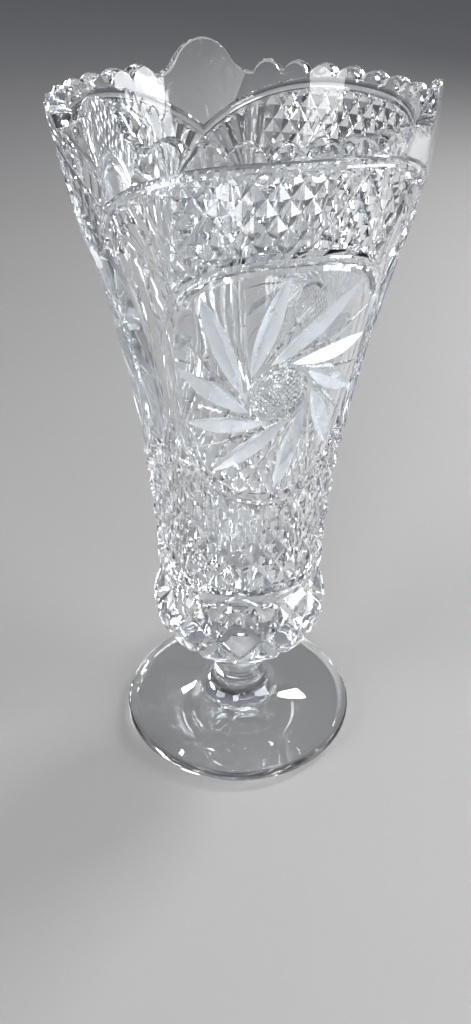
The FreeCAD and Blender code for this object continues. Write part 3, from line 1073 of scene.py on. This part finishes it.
def pale_floor():
    material, tree, shader = node_material("pale_floor")
    shader.inputs["Roughness"].default_value = FLOOR_ROUGH
    ramp = tree.nodes.new("ShaderNodeValToRGB")
    ramp.color_ramp.elements[0].color = FLOOR_DULL
    ramp.color_ramp.elements[1].color = FLOOR_PALE
    tree.links.new(noise(tree, scale=3.0, detail=4.0), ramp.inputs["Fac"])
    tree.links.new(ramp.outputs["Color"], shader.inputs["Base Color"])
    return material


CLEAR = crystal(
    "clear_crystal_glass", tint=(0.98, 0.99, 0.995, 1), rough=(0.0, 0.03),
    ripple=0.12, ripple_scale=55.0,
)
CUT = crystal(
    "cut_crystal_glass", tint=(0.965, 0.98, 0.99, 1), rough=(0.0, 0.04),
    ripple=0.10, ripple_scale=90.0,
)
SATIN = crystal(
    "satin_crystal_glass", tint=(0.90, 0.95, 1.0, 1), rough=(0.16, 0.30),
    ripple=0.10, ripple_scale=90.0, clear=0.62,
)

# ---------------------------------------------------------------- the vase

bowl = make_bowl()
foot = lathe("domed_foot", FOOT, 0.0, STEM_LOW + OVERLAP)
stem = lathe("waisted_stem", STEM, STEM_LOW - OVERLAP, STEM_TOP + OVERLAP)

for piece, node, slot, materials in (
    (bowl, "bowl", "cut_crystal", (CUT, SATIN)),
    (stem, "stem", "clear_crystal", (CLEAR,)),
    (foot, "foot", "clear_crystal", (CLEAR,)),
):
    for material in materials:
        piece.data.materials.append(material)
    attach(piece, "root")
    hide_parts(node)

# ---------------------------------------------------------------- floor, light and camera

FLOOR_SIZE = 6.0
FLOOR_GAP = 0.0002      # a thin layer of air, so that the glass and the floor never coincide
LIGHT_AIM = (0, 0, 0.12)

SKY_STRENGTH = 0.8
SKY_LOW, SKY_MIDDLE, SKY_HIGH = 0.0, 0.35, 0.9      # heights of three colours on the unit sky
SKY_GLOW, SKY_DARK = (0.30, 0.31, 0.33, 1), (0.03, 0.032, 0.038, 1)
SKY_CROWN = (0.35, 0.37, 0.42, 1)

LENS, SENSOR = 35.15625, 36.0   # focal length and sensor size, in millimetres
VIEW_PLACE = Vector((-85.6, -299.0, 307.9)) * MM
VIEW_TURN, VIEW_DOWN, VIEW_ROLL = 15.64, 34.15, 0.55    # degrees
VIEW_NEAR, VIEW_FAR = 0.01, 20.0


def make_floor():
    mesh = bpy.data.meshes.new("floor")
    half = FLOOR_SIZE / 2
    corners = [(x * half, y * half, -FLOOR_GAP) for x, y in ((-1, -1), (1, -1), (1, 1), (-1, 1))]
    mesh.from_pydata(corners, [], [(0, 1, 2, 3)])
    mesh.materials.append(pale_floor())
    obj = bpy.data.objects.new("floor", mesh)
    bpy.context.scene.collection.objects.link(obj)
    return obj


def softbox(name, place, size, watts, colour=(1, 1, 1)):
    """A rectangular light aimed at the middle of the vase."""
    light = bpy.data.lights.new(name, "AREA")
    light.shape = "RECTANGLE"
    light.size, light.size_y = size
    light.energy = watts
    light.color = colour
    obj = bpy.data.objects.new(name, light)
    obj.location = place
    aim = Vector(LIGHT_AIM) - Vector(place)
    obj.rotation_mode = "QUATERNION"
    obj.rotation_quaternion = aim.to_track_quat("-Z", "Y")
    bpy.context.scene.collection.objects.link(obj)


def make_sky():
    """A soft studio sky: a glow at the horizon and below, a dark band, a paler crown."""
    world = bpy.data.worlds.new("studio")
    world.use_nodes = True
    bpy.context.scene.world = world
    tree = world.node_tree
    sky = tree.nodes["Background"]
    spot = tree.nodes.new("ShaderNodeTexCoord")
    split = tree.nodes.new("ShaderNodeSeparateXYZ")
    shade = tree.nodes.new("ShaderNodeValToRGB")
    low, middle = shade.color_ramp.elements
    low.position, low.color = SKY_LOW, SKY_GLOW
    middle.position, middle.color = SKY_MIDDLE, SKY_DARK
    shade.color_ramp.elements.new(SKY_HIGH).color = SKY_CROWN
    tree.links.new(spot.outputs["Generated"], split.inputs["Vector"])
    tree.links.new(split.outputs["Z"], shade.inputs["Fac"])
    tree.links.new(shade.outputs["Color"], sky.inputs["Color"])
    sky.inputs["Strength"].default_value = SKY_STRENGTH


def make_camera():
    """The photo's viewpoint, found by fitting the vase's outline."""
    camera = bpy.data.cameras.new("camera")
    camera.sensor_width = SENSOR
    camera.lens = LENS
    camera.clip_start, camera.clip_end = VIEW_NEAR, VIEW_FAR
    viewer = bpy.data.objects.new("camera", camera)
    bpy.context.scene.collection.objects.link(viewer)
    bpy.context.scene.camera = viewer
    turn = Matrix.Rotation(-VIEW_TURN * DEGREE, 4, "Z")
    tilt = Matrix.Rotation((90 - VIEW_DOWN) * DEGREE, 4, "X")
    roll = Matrix.Rotation(VIEW_ROLL * DEGREE, 4, "Z")
    viewer.matrix_world = Matrix.Translation(VIEW_PLACE) @ turn @ tilt @ roll


def set_light_paths():
    """Many bounces, because light passes through two walls and their cuts."""
    cycles = bpy.context.scene.cycles
    cycles.max_bounces = 24
    cycles.transmission_bounces = 24
    cycles.glossy_bounces = 8
    cycles.diffuse_bounces = 3
    cycles.blur_glossy = 0.3
    cycles.sample_clamp_indirect = 60.0


make_floor()
softbox("window", (0.95, -0.45, 0.35), size=(0.8, 0.5), watts=14.0, colour=(0.94, 0.97, 1))
softbox("side_card", (-1.0, -0.25, 0.40), size=(0.5, 0.5), watts=6.0)
softbox("front", (-0.45, -1.0, 0.75), size=(0.35, 0.35), watts=5.0)
softbox("key", (0.82, 0.47, 0.70), size=(0.4, 0.16), watts=7.0)
make_sky()
make_camera()
set_light_paths()
bpy.context.scene.view_settings.view_transform = "Standard"
